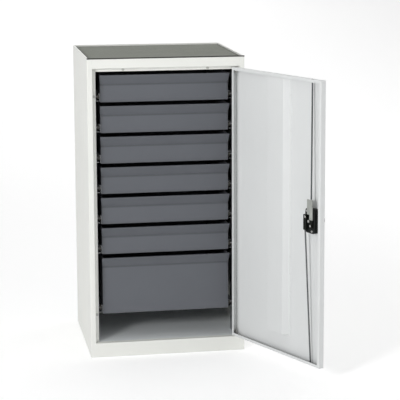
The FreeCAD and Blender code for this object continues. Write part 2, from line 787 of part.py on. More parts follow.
def fixed_rail(name, side, low, axle_level):
    """A channel on the uprights: track for the rear roller, stops, and the front roller's axle."""
    sign = -1 if side == "left" else 1
    foot = f"{low} + rail_level - sheet"
    top = f"{foot} + rail_height"
    tip = "-front_half - rail_side_gap"
    path = [(tip, top), ("-opening_half", top), ("-opening_half", foot), (tip, foot)]
    mouth = rectangle("-rail_inside", f"rail_front - {PAST}",
                      f"{tip} + {PAST}", "front_roller_y + roller_radius + roller_mouth")
    out_stop = "rear_roller_y - drawer_travel - roller_radius - stop_clearance"
    in_stop = "rear_roller_y + roller_radius + stop_clearance"
    stops = [
        rectangle("-rail_inside - sheet / 2", f"{out_stop} - sheet", tip, out_stop),
        rectangle("-rail_inside - sheet / 2", in_stop, tip, f"{in_stop} + sheet"),
    ]
    if sign > 0:
        path, mouth, stops = mirrored(path), mirrored(mouth), [mirrored(stop) for stop in stops]
    body = new_body(name + "_channel")
    fold(body, "rail", "XZ", "rail_front", "rail_back - rail_front", path, "sheet")
    pocket(body, "roller_mouth", "XY", f"{top} - sheet", f"sheet + {PAST}", [mouth])
    pad(body, "stops", "XY", f"{foot} + sheet / 2", "stop_height + sheet / 2", stops)
    axle = riveted_axle(name + "_axle", f"{sign} * rail_inside", "front_roller_standoff",
                        -sign, "front_roller_y", axle_level)
    return joined(name, [body, *axle])


def all_drawers():
    rails = []
    for index in range(1, SMALL_DRAWERS + 2):
        name = drawer_name(index)
        top, fold_level, low = drawer_levels(index)
        rear_axle = f"{low} + rail_level + running_clearance + roller_radius"
        front_axle = f"{low} + glide_level - running_clearance - roller_radius"
        drawer_front(f"{name}_front", top, fold_level, low)
        drawer_tray(f"{name}_tray", top, fold_level, low)
        glide_rails(f"{name}_glide_rails", low, rear_axle)
        rollers(f"{name}_rear_rollers", "glide_outside", "rear_roller_standoff", 1,
                "rear_roller_y", rear_axle)
        rollers(f"{name}_front_rollers", "rail_inside", "front_roller_standoff", -1,
                "front_roller_y", front_axle)
        for side in ("left", "right"):
            rails.append(fixed_rail(f"{name}_{side}_fixed_rail", side, low, front_axle))
    node(group("fixed_rails", rails), "fixed_rails")


# ---------------------------------------------------------------- door

def door_panel():
    """A flat pan: skin, four edges folded back and four lips folded in again."""
    body = new_body("door_panel")
    block = pad(body, "block", "XZ", "0", "door_thickness",
                [rectangle("door_left", "door_bottom", "door_right", "door_top")])
    faces = (0.0, value("door_thickness"))
    rims = [
        f"Edge{number}" for number, edge in enumerate(block.Shape.Edges, start=1)
        if any(all(abs(vertex.Point.y - face) < 1e-5 for vertex in edge.Vertexes) for face in faces)
    ]
    fillet(body, "folds", block, rims, "fold_inside + sheet")
    inset, lip = "sheet", "door_lip"
    pocket(body, "inside", "XZ", "sheet", "door_thickness - 2 * sheet", [rectangle(
        f"door_left + {inset}", f"door_bottom + {inset}", f"door_right - {inset}", f"door_top - {inset}")])
    pocket(body, "mouth", "XZ", "door_thickness - sheet", f"sheet + {PAST}", [rectangle(
        f"door_left + {lip}", f"door_bottom + {lip}", f"door_right - {lip}", f"door_top - {lip}")])
    bush_hole = "hinge_pin_radius + running_clearance + bush_wall + seat_clearance"
    guide_hole = "guide_radius + seat_clearance"
    for end, level in (("bottom", "door_bottom"), ("top", "door_top - sheet")):
        pocket(body, f"{end}_holes", "XY", f"{level} - {PAST}", f"sheet + 2 * {PAST}", circles=[
            ("hinge_x", "hinge_setback", bush_hole), ("lock_x", "rod_setback", guide_hole)])
    pocket(body, "spindle_hole", "XZ", f"-{PAST}", f"sheet + 2 * {PAST}",
           circles=[("lock_x", "lock_level", "spindle_radius + spindle_hole_clearance")])
    node(body, "door_panel", on_door=True)


def door_stiffener():
    """The hat section that runs up the middle of the door."""
    half = [
        ("hat_base_width / 2 + hat_foot", "2 * sheet"),
        ("hat_base_width / 2", "2 * sheet"),
        ("hat_top_width / 2", "sheet + hat_depth"),
    ]
    body = new_body("door_stiffener")
    fold(body, "hat", "XY", "door_bottom + hat_bottom_margin",
         "door_top - hat_top_margin - (door_bottom + hat_bottom_margin)",
         half + mirrored(half), "sheet", "fold_inside")
    node(body, "door_stiffener", on_door=True)


def hinge_brackets():
    """Thick plates behind the folded door ends, bored for the hinge bushes."""
    size = ("bracket_length", "door_thickness - 2 * sheet", "bracket_thickness")
    levels = {"lower": "door_bottom + sheet", "upper": "door_top - sheet - bracket_thickness"}
    plates = []
    for end, level in levels.items():
        plate = box(f"{end}_bracket_plate", ("door_right - sheet - bracket_length", "sheet", level), size)
        bore = cylinder(f"{end}_bracket_bore", ("hinge_x", "hinge_setback", f"{level} - {PAST}"),
                        "hinge_pin_radius + running_clearance + bush_wall + seat_clearance",
                        f"bracket_thickness + 2 * {PAST}", "Z")
        plates.append(without(f"{end}_hinge_bracket", plate, bore))
    node(group("hinge_brackets", plates), "hinge_brackets", on_door=True)


def hinge_bushes():
    """Flanged nylon bushes between the hinge pins and the door."""
    at = ("hinge_x", "hinge_setback")
    lower_face = "plinth_face + hinge_collar_height + running_clearance"
    sleeve_length = "sheet + bracket_thickness + bush_stand"
    bushes = []
    for end, flange_start, flange_length, sleeve_start in (
        ("lower", lower_face, f"door_bottom - ({lower_face})", "door_bottom"),
        ("upper", "door_top", "sheet", f"door_top - ({sleeve_length})"),
    ):
        outside = joined(f"{end}_bush_outside", [
            cylinder(f"{end}_bush_flange", (*at, flange_start), "bush_flange_radius", flange_length, "Z"),
            cylinder(f"{end}_bush_sleeve", (*at, sleeve_start),
                     "hinge_pin_radius + running_clearance + bush_wall", sleeve_length, "Z"),
        ])
        bore = cylinder(f"{end}_bush_bore", (*at, "door_bottom - door_thickness" if end == "lower" else
                        "door_top - door_thickness"), "hinge_pin_radius + running_clearance",
                        "2 * door_thickness", "Z")
        bushes.append(without(f"{end}_hinge_bush", outside, bore))
    node(group("hinge_bushes", bushes), "hinge_bushes", on_door=True)


# ---------------------------------------------------------------- lock, handle and rods

def lock_case():
    """The black housing on the inside of the door, bored for the spindle."""
    corners = rectangle("lock_x - lock_case_width / 2", "lock_level - lock_case_height / 2",
                        "lock_x + lock_case_width / 2", "lock_level + lock_case_height / 2")
    body = new_body("lock_case")
    block = pad(body, "housing", "XZ", "sheet", "lock_case_depth", [corners])
    spots = [(value(u), value(v)) for u, v in corners]
    rounded = fillet(body, "corners", block, edges_at(block, block.Profile[0], spots), "lock_case_corner")
    chamfer(body, "face_rim", rounded, edges_on_plane(rounded, "case_face"), "lock_case_chamfer")
    pocket(body, "spindle_bore", "XZ", f"sheet - {PAST}", f"lock_case_depth + 2 * {PAST}",
           circles=[("lock_x", "lock_level", "spindle_radius + running_clearance")])
    node(body, "lock_case", on_door=True)


def turn_handle():
    """Hub and tapered lever outside, and the spindle that goes through the door to the cam."""
    hub_back = "-rose_thickness - running_clearance"
    hub_front = f"{hub_back} - hub_height"
    lever = [
        ("lock_x", "lock_level - lever_root / 2"),
        ("lock_x + lever_length", "lock_level - lever_width / 2"),
        ("lock_x + lever_length", "lock_level + lever_width / 2"),
        ("lock_x", "lock_level + lever_root / 2"),
    ]
    body = new_body("turn_handle")
    arm = pad(body, "lever", "XZ", hub_front, "lever_thickness", [lever])
    tips = [(value(u), value(v)) for u, v in lever[1:3]]
    fillet(body, "lever_tip", arm, edges_at(arm, arm.Profile[0], tips), "lever_tip_radius")
    centre = ("lock_x", "lock_level")
    pad(body, "hub", "XZ", hub_front, "hub_height", circles=[(*centre, "hub_radius")])
    pad(body, "spindle", "XZ", hub_back, f"cam_back - ({hub_back})", circles=[(*centre, "spindle_radius")])
    pad(body, "cam_seat", "XZ", "cam_back", "cam_thickness", circles=[(*centre, "cam_seat_radius")])
    pocket(body, "cylinder_bore", "XZ", f"{hub_front} - {PAST}",
           f"cylinder_length + running_clearance + {PAST}",
           circles=[(*centre, "cylinder_radius + running_clearance")])
    node(body, "turn_handle", on_door=True)


def handle_rose():
    """The round plate on the outside of the door that the handle turns on."""
    centre = ("lock_x", "lock_level")
    body = new_body("handle_rose")
    disc = pad(body, "disc", "XZ", "-rose_thickness", "rose_thickness", circles=[(*centre, "rose_radius")])
    chamfer(body, "rim", disc, edges_on_plane(disc, "-rose_thickness"), "rose_chamfer")
    pocket(body, "spindle_bore", "XZ", f"-rose_thickness - {PAST}", f"rose_thickness + 2 * {PAST}",
           circles=[(*centre, "spindle_radius + running_clearance")])
    node(body, "handle_rose", on_door=True)


def lock_cylinder():
    """The keyed barrel in the middle of the handle."""
    face = "-rose_thickness - running_clearance - hub_height - thin_sheet"
    body = new_body("lock_cylinder")
    pad(body, "barrel", "XZ", face, "cylinder_length", circles=[("lock_x", "lock_level", "cylinder_radius")])
    pocket(body, "keyway", "XZ", f"{face} - {PAST}", f"key_slot_depth + {PAST}", [rectangle(
        "lock_x - key_slot_width / 2", "lock_level - key_slot_length / 2",
        "lock_x + key_slot_width / 2", "lock_level + key_slot_length / 2")])
    node(body, "lock_cylinder", on_door=True)


def cam_plate():
    """A bar on the spindle with a headed drive pin for each rod, turned to its unlocked place."""
    pieces = [box("cam_bar", ("lock_x - cam_radius", "cam_back", "lock_level - cam_width / 2"),
                  ("2 * cam_radius", "cam_thickness", "cam_width"))]
    for side, sign in (("left", -1), ("right", 1)):
        x = f"lock_x + {sign} * cam_radius"
        pieces += [
            cylinder(f"{side}_cam_end", (x, "cam_back", "lock_level"), "cam_width / 2", "cam_thickness", "Y"),
            cylinder(f"{side}_drive_pin", (x, "cam_back", "lock_level"), "drive_pin_radius",
                     "pin_end - (cam_back)", "Y"),
            cylinder(f"{side}_drive_head", (x, "pin_end - thin_sheet", "lock_level"),
                     "drive_pin_radius + drive_head", "thin_sheet", "Y"),
        ]
    bore = cylinder("cam_bore", ("lock_x", f"cam_back - {PAST}", "lock_level"),
                    "cam_seat_radius + seat_clearance", f"cam_thickness + 2 * {PAST}", "Y")
    cam = without("cam_plate", joined("cam_solid", pieces), bore)
    node(cam, "cam_plate", on_door=True)
    centre = Vector(value("lock_x"), 0, value("lock_level"))
    unlocked = Placement(Vector(), Rotation(Vector(0, 1, 0), -value("cam_swing / 2")), centre)
    cam.Placement = TO_BASE_CENTRE * DOOR_SWING * unlocked


def rod(name, up, end_level, yoke_width, reach):
    """A lock rod: a slotted flat end on the cam's drive pin, and a straight bar to the door end.

    up is 1 for the upper rod and -1 for the lower one. The bar starts beside the lock axis and
    ends in line with it. yoke_width is how wide the flat end grows once it is past the other rod,
    and reach is how far it goes from the axis.
    """
    axis_x, axis_z = value("lock_x"), value("lock_level")
    offset, half = value("rod_offset"), value("rod_plate_width / 2")
    back, thickness = value("plate_back"), value("cam_thickness")
    foot = Vector(axis_x - up * offset, value("plate_middle"), axis_z + up * value("rod_start"))
    tip = Vector(axis_x, value("rod_setback"), value(end_level))
    bar = Part.makeCylinder(value("rod_radius"), (tip - foot).Length, foot, tip - foot)

    # The flat end in the plane of the plate: across is 0 on the bar's foot and grows towards
    # the lock axis, along grows towards the rod's tip.
    tail = value("rod_plate_tail")
    shoulder, inner = tail + value("yoke_gap"), yoke_width - half
    corners = [
        (-half, -tail), (half, -tail), (half, shoulder), (inner, shoulder), (inner, reach), (-half, reach),
    ]
    points = [Vector(foot.x + up * across, back, axis_z + up * along) for across, along in corners]
    face = Part.Face(Part.makePolygon(points + points[:1]))
    plate = face.extrude(Vector(0, thickness, 0))
    ends = [-tail, reach]
    rounded = [
        edge for edge in plate.Edges if abs(edge.tangentAt(0).y) > 0.99
        and any(abs(edge.CenterOfMass.z - axis_z - up * end) < 1e-6 for end in ends)
    ]
    plate = plate.makeFillet(value("rod_plate_corner"), rounded)

    pin_z = axis_z - up * value("rod_travel / 2")
    slack = value("slot_half")
    aside = slack + value("cam_radius - rod_offset") + value("rod_travel") * offset / (tip - foot).Length
    slot = Part.makeBox(2 * aside, thickness + 2 * PAST, 2 * slack,
                        Vector(foot.x - aside, back - PAST, pin_z - slack))
    feature = doc.addObject("Part::Feature", name)
    feature.Shape = bar.fuse(plate.cut(slot)).removeSplitter()
    node(feature, name, on_door=True)


def rod_guides():
    """Flanged bushes in the folded door ends that the rods slide through."""
    pieces = []
    at = ("lock_x", "rod_setback")
    for name, flange_level, sleeve_level in (
        ("upper", "door_top - sheet - guide_flange_height", "door_top - sheet"),
        ("lower", "door_bottom + sheet", "door_bottom"),
    ):
        outside = joined(f"{name}_guide_outside", [
            cylinder(f"{name}_guide_flange", (*at, flange_level),
                     "guide_flange_radius", "guide_flange_height", "Z"),
            cylinder(f"{name}_guide_sleeve", (*at, sleeve_level), "guide_radius", "sheet", "Z"),
        ])
        bore = cylinder(f"{name}_guide_bore", (*at, f"{sleeve_level} - guide_flange_height - {PAST}"),
                        "rod_hole", f"sheet + 2 * (guide_flange_height + {PAST})", "Z")
        pieces.append(without(f"{name}_rod_guide", outside, bore))
    node(group("rod_guides", pieces), "rod_guides", on_door=True)


# ---------------------------------------------------------------- build, check and write

def build():
    for side in ("left", "right"):
        side_panel(f"{side}_side_panel", side)
    header()
    plinth()
    floor_panel()
    back_panel()
    top_tray()
    top_mat()
    uprights()
    hinge_pins()
    door_buffers()
    all_drawers()
    door_panel()
    door_stiffener()
    hinge_brackets()
    hinge_bushes()
    lock_case()
    handle_rose()
    turn_handle()
    lock_cylinder()
    cam_plate()
    rod("upper_rod", 1, "door_top - rod_recess", value("yoke_width"), value("upper_plate_reach"))
    rod("lower_rod", -1, "door_bottom + rod_recess", value("rod_plate_width"), value("lower_plate_reach"))
    rod_guides()
    doc.recompute()


def check():
    for item in doc.Objects:
        if {"Invalid", "Error"} & set(item.State):
            raise RuntimeError(f"{item.Label} is in state {item.State}")
    for piece in NODES:
        if piece.Shape.isNull() or not piece.Shape.isValid() or not piece.Shape.Solids:
            raise RuntimeError(f"{piece.Label} has no valid shape")


def write():
    os.makedirs("parts", exist_ok=True)
    for piece in NODES:
        piece.Shape.exportStep(f"parts/{piece.Label}.step")
    print(len(NODES), "sub-parts written")


build()
check()
write()
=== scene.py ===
# %% [markdown]
# # A reagent drawer cabinet, dressed for the camera
# The cabinet is folded sheet steel: a carcass, seven drawers on roller runners and one door
# with a turn handle, a cam and two lock rods. Its shapes come from the CAD frame, which is
# loaded first and never moved. This lesson adds what the frame lacks: paint, plating, rubber,
# nylon, the small fastenings, and the light to see them by. Lengths are in metres. A small
# one is easier to read in millimetres, so it is written as a number times MM.

# %% Load the frame
import json
import math

import bmesh
import bpy
from mathutils import Matrix, Vector

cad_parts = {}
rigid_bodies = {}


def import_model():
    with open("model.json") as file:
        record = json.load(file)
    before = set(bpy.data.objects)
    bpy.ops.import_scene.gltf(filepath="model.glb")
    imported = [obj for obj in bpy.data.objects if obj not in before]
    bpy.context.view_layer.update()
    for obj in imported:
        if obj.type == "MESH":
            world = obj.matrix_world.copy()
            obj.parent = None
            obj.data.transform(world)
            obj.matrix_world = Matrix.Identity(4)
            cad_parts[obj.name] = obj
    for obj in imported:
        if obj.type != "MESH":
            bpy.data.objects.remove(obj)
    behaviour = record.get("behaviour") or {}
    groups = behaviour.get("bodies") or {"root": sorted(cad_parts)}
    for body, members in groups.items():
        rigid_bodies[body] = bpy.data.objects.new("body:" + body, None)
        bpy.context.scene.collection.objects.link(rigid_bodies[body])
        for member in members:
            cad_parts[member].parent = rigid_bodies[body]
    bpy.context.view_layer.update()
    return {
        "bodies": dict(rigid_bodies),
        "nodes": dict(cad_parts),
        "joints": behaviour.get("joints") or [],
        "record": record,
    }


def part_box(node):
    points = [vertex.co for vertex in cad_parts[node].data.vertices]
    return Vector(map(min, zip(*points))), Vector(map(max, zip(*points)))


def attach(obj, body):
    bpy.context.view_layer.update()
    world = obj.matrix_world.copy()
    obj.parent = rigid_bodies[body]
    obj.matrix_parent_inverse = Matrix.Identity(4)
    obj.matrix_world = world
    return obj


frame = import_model()
NODES = frame["nodes"]
MM = 0.001

# %% [markdown]
# ## Camera
# The cabinet is seen from a little left of its front and from above its top, through a long
# lens, so that its uprights stay nearly parallel. A tilt of the camera makes uprights lean
# together, and a shift of the lens makes up for a part of it. The shift is kept small, since
# it would push the cabinet out of the frame when it is looked at from other sides.

# %% Camera
CAMERA_PLACE = Vector((-0.763, -5.387, 1.531))
CAMERA_YAW = math.radians(11.08)
CAMERA_PITCH = math.radians(9.51)
SENSOR_WIDTH = 36.0
FOCAL_IN_FRAMES = 1599 / 400
LENS_SHIFT = 0.1

camera_data = bpy.data.cameras.new("camera")
camera_data.sensor_width = SENSOR_WIDTH
camera_data.lens = FOCAL_IN_FRAMES * SENSOR_WIDTH
camera_data.shift_x = -LENS_SHIFT
camera_data.shift_y = -LENS_SHIFT
camera_data.clip_start = 0.1
camera_data.clip_end = 60.0
camera = bpy.data.objects.new("camera", camera_data)
camera.location = CAMERA_PLACE
camera.rotation_euler = (math.radians(90) - CAMERA_PITCH, 0.0, -CAMERA_YAW)
bpy.context.scene.collection.objects.link(camera)
bpy.context.scene.camera = camera
print("lens", round(camera_data.lens, 1), "mm")

# %% [markdown]
# ## Building with nodes
# A finish is a tree of nodes. Each node could be placed and wired by hand in the editor. In
# a script a few small functions keep the wiring readable: one adds a node and feeds its
# sockets, and the others stand for the steps that every finish repeats.

# %% Helpers for node trees
NOISE_LOW, NOISE_HIGH = 0.3, 0.7


def new_material(name):
    """A material with one Principled shader, its tree and that shader."""
    material = bpy.data.materials.new(name)
    material.use_nodes = True
    tree = material.node_tree
    return material, tree, tree.nodes["Principled BSDF"]


def feed(tree, socket, source):
    """Gives a socket a value, or the output that feeds it."""
    if isinstance(source, bpy.types.NodeSocket):
        tree.links.new(source, socket)
    else:
        socket.default_value = source


def add(tree, kind, inputs=(), **settings):
    """Adds a node with its settings, and feeds its sockets."""
    node = tree.nodes.new("ShaderNode" + kind)
    for key, setting in settings.items():
        setattr(node, key, setting)
    for socket, source in dict(inputs).items():
        feed(tree, node.inputs[socket], source)
    return node


def math_node(tree, operation, one, other):
    """One step of arithmetic between two values."""
    return add(tree, "Math", {0: one, 1: other}, operation=operation).outputs[0]


def multiplied(tree, one, other):
    return math_node(tree, "MULTIPLY", one, other)


def ranged(tree, source, low, high, from_low=NOISE_LOW, from_high=NOISE_HIGH):
    """Spreads a value over a range. The defaults suit a noise, which stays near its middle."""
    return add(tree, "MapRange", {
        "Value": source, "From Min": from_low, "From Max": from_high,
        "To Min": low, "To Max": high}).outputs["Result"]


def mixed(tree, share, first, second):
    """A colour between two: share 0 is the first, 1 the second."""
    made = add(tree, "Mix", {0: share, 6: first, 7: second}, data_type="RGBA")
    return made.outputs[2]


print("a noise is taken to lie between", NOISE_LOW, "and", NOISE_HIGH)

# %% [markdown]
# ## Studio
# The cabinet stands on a pale floor that curves up into a pale wall, a cove, so that the
# camera sees no horizon. The cove could be brightened with more light, but that would burn
# out the white paint. Instead a ray that shows the backdrop sees a little glow added to it,
# which lifts it towards white and still leaves the soft shadow at the plinth. The floor is
# one edge drawn out to a sheet, spun up through a quarter turn, and drawn on.

# %% Cove
COVE_GREY = (0.86, 0.86, 0.86, 1.0)
COVE_GLOW = 0.36
MERGE_DISTANCE = 0.01 * MM


def link_object(name, mesh_or_data):
    made = bpy.data.objects.new(name, mesh_or_data)
    bpy.context.scene.collection.objects.link(made)
    return made


def verts_of(made):
    """The vertices among what a bmesh operator made, so that they can be moved on."""
    return [item for item in made["geom"] if isinstance(item, bmesh.types.BMVert)]


def edges_of(made, part="geom"):
    return [item for item in made[part] if isinstance(item, bmesh.types.BMEdge)]


def backdrop_ray(tree):
    """1 for a ray that shows the backdrop: to the eye, in a reflection or through glass."""
    rays = add(tree, "LightPath").outputs
    seen = math_node(tree, "MAXIMUM", rays["Is Camera Ray"], rays["Is Glossy Ray"])
    return math_node(tree, "MAXIMUM", seen, rays["Is Transmission Ray"])


def cove_material():
    material, tree, shader = new_material("cove")
    tree.nodes.remove(shader)
    matt = add(tree, "BsdfDiffuse", {"Color": COVE_GREY})
    glow = add(tree, "Emission", {"Strength": multiplied(tree, backdrop_ray(tree), COVE_GLOW)})
    both = add(tree, "AddShader", {0: matt.outputs[0], 1: glow.outputs[0]})
    tree.links.new(both.outputs[0], tree.nodes["Material Output"].inputs["Surface"])
    return material


def build_cove(half_width=9.0, front=-8.0, wall=5.0, turn=2.0, wall_height=9.0, steps=24):
    """Floor, curve and wall in one sheet: turn is the radius of the curve."""
    mesh = bpy.data.meshes.new("cove")
    shape = bmesh.new()
    ends = [shape.verts.new((across, front, 0.0)) for across in (-half_width, half_width)]
    floor = bmesh.ops.extrude_edge_only(shape, edges=[shape.edges.new(ends)])
    bmesh.ops.translate(shape, verts=verts_of(floor), vec=(0.0, wall - turn - front, 0.0))
    curved = bmesh.ops.spin(
        shape, geom=edges_of(floor), cent=(0.0, wall - turn, turn), axis=(1.0, 0.0, 0.0),
        angle=math.radians(90), steps=steps, use_merge=False)
    raised = bmesh.ops.extrude_edge_only(shape, edges=edges_of(curved, "geom_last"))
    bmesh.ops.translate(shape, verts=verts_of(raised), vec=(0.0, 0.0, wall_height))
    bmesh.ops.remove_doubles(shape, verts=shape.verts, dist=MERGE_DISTANCE)
    bmesh.ops.recalc_face_normals(shape, faces=shape.faces)
    for face in shape.faces:
        face.smooth = True
    shape.to_mesh(mesh)
    shape.free()
    return link_object("cove", mesh)


cove = build_cove()
cove.data.materials.append(cove_material())
print("cove", len(cove.data.polygons), "faces")

# %% [markdown]
# ## Light
# A bright world alone would light everything, but without a direction no fold would show. So
# one lamp stands to the left of the camera, a little higher than it, and gives the stile and
# the left side their brightness. Its size settles how sharp a shadow is: a lamp of 0.8 m,
# nearly five metres away, still draws the thin shadow that a lock rod throws on the door
# behind it. A weaker, broader one on the right keeps the inside of the door from going flat.
# Two broad lamps behind light the outer face of the door, the right side and the back, so
# that the paint keeps its colour from every side. A faint one overhead and the world fill
# the rest evenly. Each lamp has a place, a target, a size and a power in watts, and the
# powers are low enough for the white paint to stay below pure white.

# %% Lamps and world
CABINET_MIDDLE = (0.05, -0.1, 0.5)
SMALL, BROAD, OVERHEAD = 0.8, 2.4, 2.6
LAMPS = {
    "key_lamp": ((-2.8, -3.7, 1.8), CABINET_MIDDLE, SMALL, 92.0),
    "fill_lamp": ((3.0, -3.6, 1.6), CABINET_MIDDLE, BROAD, 21.0),
    "rear_right_lamp": ((3.4, 2.4, 2.2), CABINET_MIDDLE, BROAD, 34.0),
    "rear_lamp": ((0.2, 4.4, 2.2), CABINET_MIDDLE, BROAD, 15.0),
    "top_lamp": ((0.0, 0.2, 3.6), (0.0, 0.0, 1.0), OVERHEAD, 6.0),
}
WORLD_LIGHT = 0.45


def add_lamp(name, place, target, size, power):
    lamp_data = bpy.data.lights.new(name, "AREA")
    lamp_data.shape = "RECTANGLE"
    lamp_data.size = lamp_data.size_y = size
    lamp_data.energy = power
    lamp = link_object(name, lamp_data)
    lamp.location = place
    lamp.visible_camera = False
    lamp.rotation_euler = (Vector(target) - Vector(place)).to_track_quat("-Z", "Y").to_euler()


for lamp_name, lamp_settings in LAMPS.items():
    add_lamp(lamp_name, *lamp_settings)

world = bpy.data.worlds.new("world")
world.use_nodes = True
background = world.node_tree.nodes["Background"]
background.inputs["Color"].default_value = (1.0, 1.0, 1.0, 1.0)
sky = ranged(world.node_tree, backdrop_ray(world.node_tree), WORLD_LIGHT, 1.0)
world.node_tree.links.new(sky, background.inputs["Strength"])
bpy.context.scene.world = world
bpy.context.scene.view_settings.view_transform = "Standard"
print(len(LAMPS), "lamps and a world of", WORLD_LIGHT)

# %% [markdown]
# ## Patterns and colours
# A pattern could be laid out with UV maps, but folded sheet has many faces and needs no
# seams. Object coordinates give every point its place in metres, so that a grain has the
# same size on each piece, and stays on the piece when it moves. Colours are written as they
# are read off a colour card, from 0 to 255, and turned into the linear light of a shader.

# %% Helpers for patterns and colours
def object_place(tree):
    return add(tree, "TexCoord").outputs["Object"]


def height_of(tree, place):
    return add(tree, "SeparateXYZ", {0: place}).outputs["Z"]


def noise(tree, place, scale, detail=2.0, roughness=0.5):
    """A cloudy pattern: a larger scale gives smaller clouds, and detail their fine edges."""
    made = add(tree, "TexNoise", {
        "Vector": place, "Scale": scale, "Detail": detail, "Roughness": roughness})
    return made.outputs["Fac"]


def bumped(tree, shader, height, strength, depth=0.3 * MM):
    """Lets a pattern tilt the light on a surface, as a relief of this depth would."""
    bump = add(tree, "Bump", {"Height": height, "Strength": strength, "Distance": depth})
    tree.links.new(bump.outputs["Normal"], shader.inputs["Normal"])


def paint_colour(red, green, blue):
    """A colour of the colour card in the linear light of a shader."""
    def linear(share):
        share /= 255
        return share / 12.92 if share <= 0.04045 else ((share + 0.055) / 1.055) ** 2.4
    return (linear(red), linear(green), linear(blue), 1.0)


def shaded(colour, share):
    """A darker shade, with this share of the colour's light."""
    return tuple(part * share for part in colour[:3]) + (1.0,)


print("mid grey 128 is", round(paint_colour(128, 128, 128)[0], 3), "in linear light")

# %% [markdown]
# ## Wear, painted shade and painted shadow
# Paint wears on its outer edges first, where it is knocked. Shade is painted into the colour
# deep in the folds, and a soft painted shadow along the bend under a drawer's grip. Such marks
# could be painted by hand, but nodes find their places by themselves. The Bevel node finds
# edges: where its rounded normal leaves the true one, an edge is near. The Ambient Occlusion
# node finds the folds, since it says how open the place is, and the height over the floor gives
# the bends.

# %% Edges, folds and bends
EDGE_FLAT, EDGE_SHARP = 0.998, 0.93
# Painted shade in the folds: how far the occlusion looks, the range it spreads over, and the share
# of light it leaves.
FOLD_REACH = 34 * MM
FOLD_DEEP, FOLD_OPEN = 0.22, 0.54
FOLD_SHADE_TONE = 0.3
# The painted shadow, a soft dark line, just under each bend of a drawer's lip.
BEND_SHADOW_SHARE = 0.42
BEND_SHADOW_START, BEND_SHADOW_FULL, BEND_SHADOW_END = 1 * MM, 2 * MM, 7 * MM
BLACK = (0.0, 0.0, 0.0, 1.0)


def edge_share(tree, reach):
    """1 on the outer and inner edges of a surface, 0 on its flats."""
    rounded = add(tree, "Bevel", {"Radius": reach}, samples=4)
    true_normal = add(tree, "NewGeometry").outputs["Normal"]
    cosine = add(
        tree, "VectorMath", {0: rounded.outputs[0], 1: true_normal}, operation="DOT_PRODUCT")
    return ranged(tree, cosine.outputs["Value"], 0.0, 1.0, EDGE_FLAT, EDGE_SHARP)


def painted_fold_shade(tree, coat, colour, fold_shade_strength):
    """The coat with shade painted deep in its folds and slots; the last argument is how strong it
    is.
    """
    occlusion = add(tree, "AmbientOcclusion", {"Distance": FOLD_REACH}, samples=8, only_local=True)
    share = ranged(tree, occlusion.outputs["AO"], fold_shade_strength, 0.0, FOLD_DEEP, FOLD_OPEN)
    return mixed(tree, share, coat, shaded(colour, FOLD_SHADE_TONE))


def painted_bend_shadow(tree, coat, place, bends):
    """The coat with a painted shadow, a soft dark line, under each bend. bends are heights over
    the floor.
    """
    level = height_of(tree, place)
    for bend in bends:
        below = math_node(tree, "SUBTRACT", bend, level)
        starting = ranged(tree, below, 0.0, BEND_SHADOW_SHARE, -BEND_SHADOW_START, BEND_SHADOW_START)
        ending = ranged(tree, below, 1.0, 0.0, BEND_SHADOW_FULL, BEND_SHADOW_END)
        coat = mixed(tree, multiplied(tree, starting, ending), coat, BLACK)
    return coat


# Prints the reach of the painted shade in folds and of the painted shadow under the bends.
print("painted shade in folds within", FOLD_REACH / MM, "mm, painted shadow down to", BEND_SHADOW_END / MM, "mm")

# %% [markdown]
# ## Powder coat
# The carcass, the door and the drawers are powder coated. Baked powder has a fine orange
# peel, a satin gloss that varies a little, and a tone that is never quite even. A plain
# colour would look like card. So the tone is a soft cloud between two shades, the gloss a
# finer one, the peel a small bump, and a fourth noise breaks the band along an edge into
# short marks.

# %% Powder coat
EDGE_REACH = 1.2 * MM
PEEL_DEPTH = 0.4 * MM


def powder_coat(name, colour, worn, gloss=(0.36, 0.5), peel=0.09, wear=0.35, shade=0.97,
                fold_shade_strength=0.3, bends=()):
    """Satin powder coat: colour is the coat, worn what shows at a rubbed edge."""
    material, tree, shader = new_material(name)
    place = object_place(tree)
    cloudy = ranged(tree, noise(tree, place, scale=3.0, detail=3.0), 0.0, 1.0)
    coat = mixed(tree, cloudy, colour, shaded(colour, shade))
    # Shade painted in the folds, then a painted shadow under each bend.
    coat = painted_bend_shadow(tree, painted_fold_shade(tree, coat, colour, fold_shade_strength), place, bends)
    knocks = noise(tree, place, scale=60.0, detail=4.0, roughness=0.7)
    marks = ranged(tree, knocks, 0.0, wear, from_low=0.48, from_high=0.62)
    share = multiplied(tree, edge_share(tree, EDGE_REACH), marks)
    tree.links.new(mixed(tree, share, coat, worn), shader.inputs["Base Color"])
    handled = noise(tree, place, scale=24.0, detail=5.0, roughness=0.65)
    tree.links.new(ranged(tree, handled, *gloss), shader.inputs["Roughness"])
    bumped(tree, shader, noise(tree, place, scale=700.0, detail=1.0), peel, PEEL_DEPTH)
    return material


print("edges are worn within", EDGE_REACH / MM, "mm")

# %% [markdown]
# ## The four paints
# The carcass is a warm white, and the door a cooler and darker copy of it, whose darkness is
# painted shade for the door's inner face. The floor is a pale grey and the drawers an
# anthracite. One material could take its colour from the object, but an export keeps colours
# by material, so each slot has its own, made by the same recipe. The lip along the top of a
# drawer's front leans out from a bend. The bend lies a lip's height under the top of the
# front, and a painted shadow just below it.

# %% Paints
BODY_WHITE = paint_colour(241, 242, 237)
# A darker copy of the carcass white: painted shade for the door's inner face.
SHADED_DOOR_WHITE = paint_colour(230, 232, 232)
FLOOR_GREY = paint_colour(236, 240, 241)
DRAWER_GREY = paint_colour(94, 97, 103)
RUBBED_WHITE = paint_colour(176, 177, 174)
RUBBED_GREY = paint_colour(150, 152, 155)
LIP_RISE = 31 * MM
LIP_BENDS = [
    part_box(name)[1][2] - LIP_RISE for name in sorted(NODES) if name.endswith("_front")]

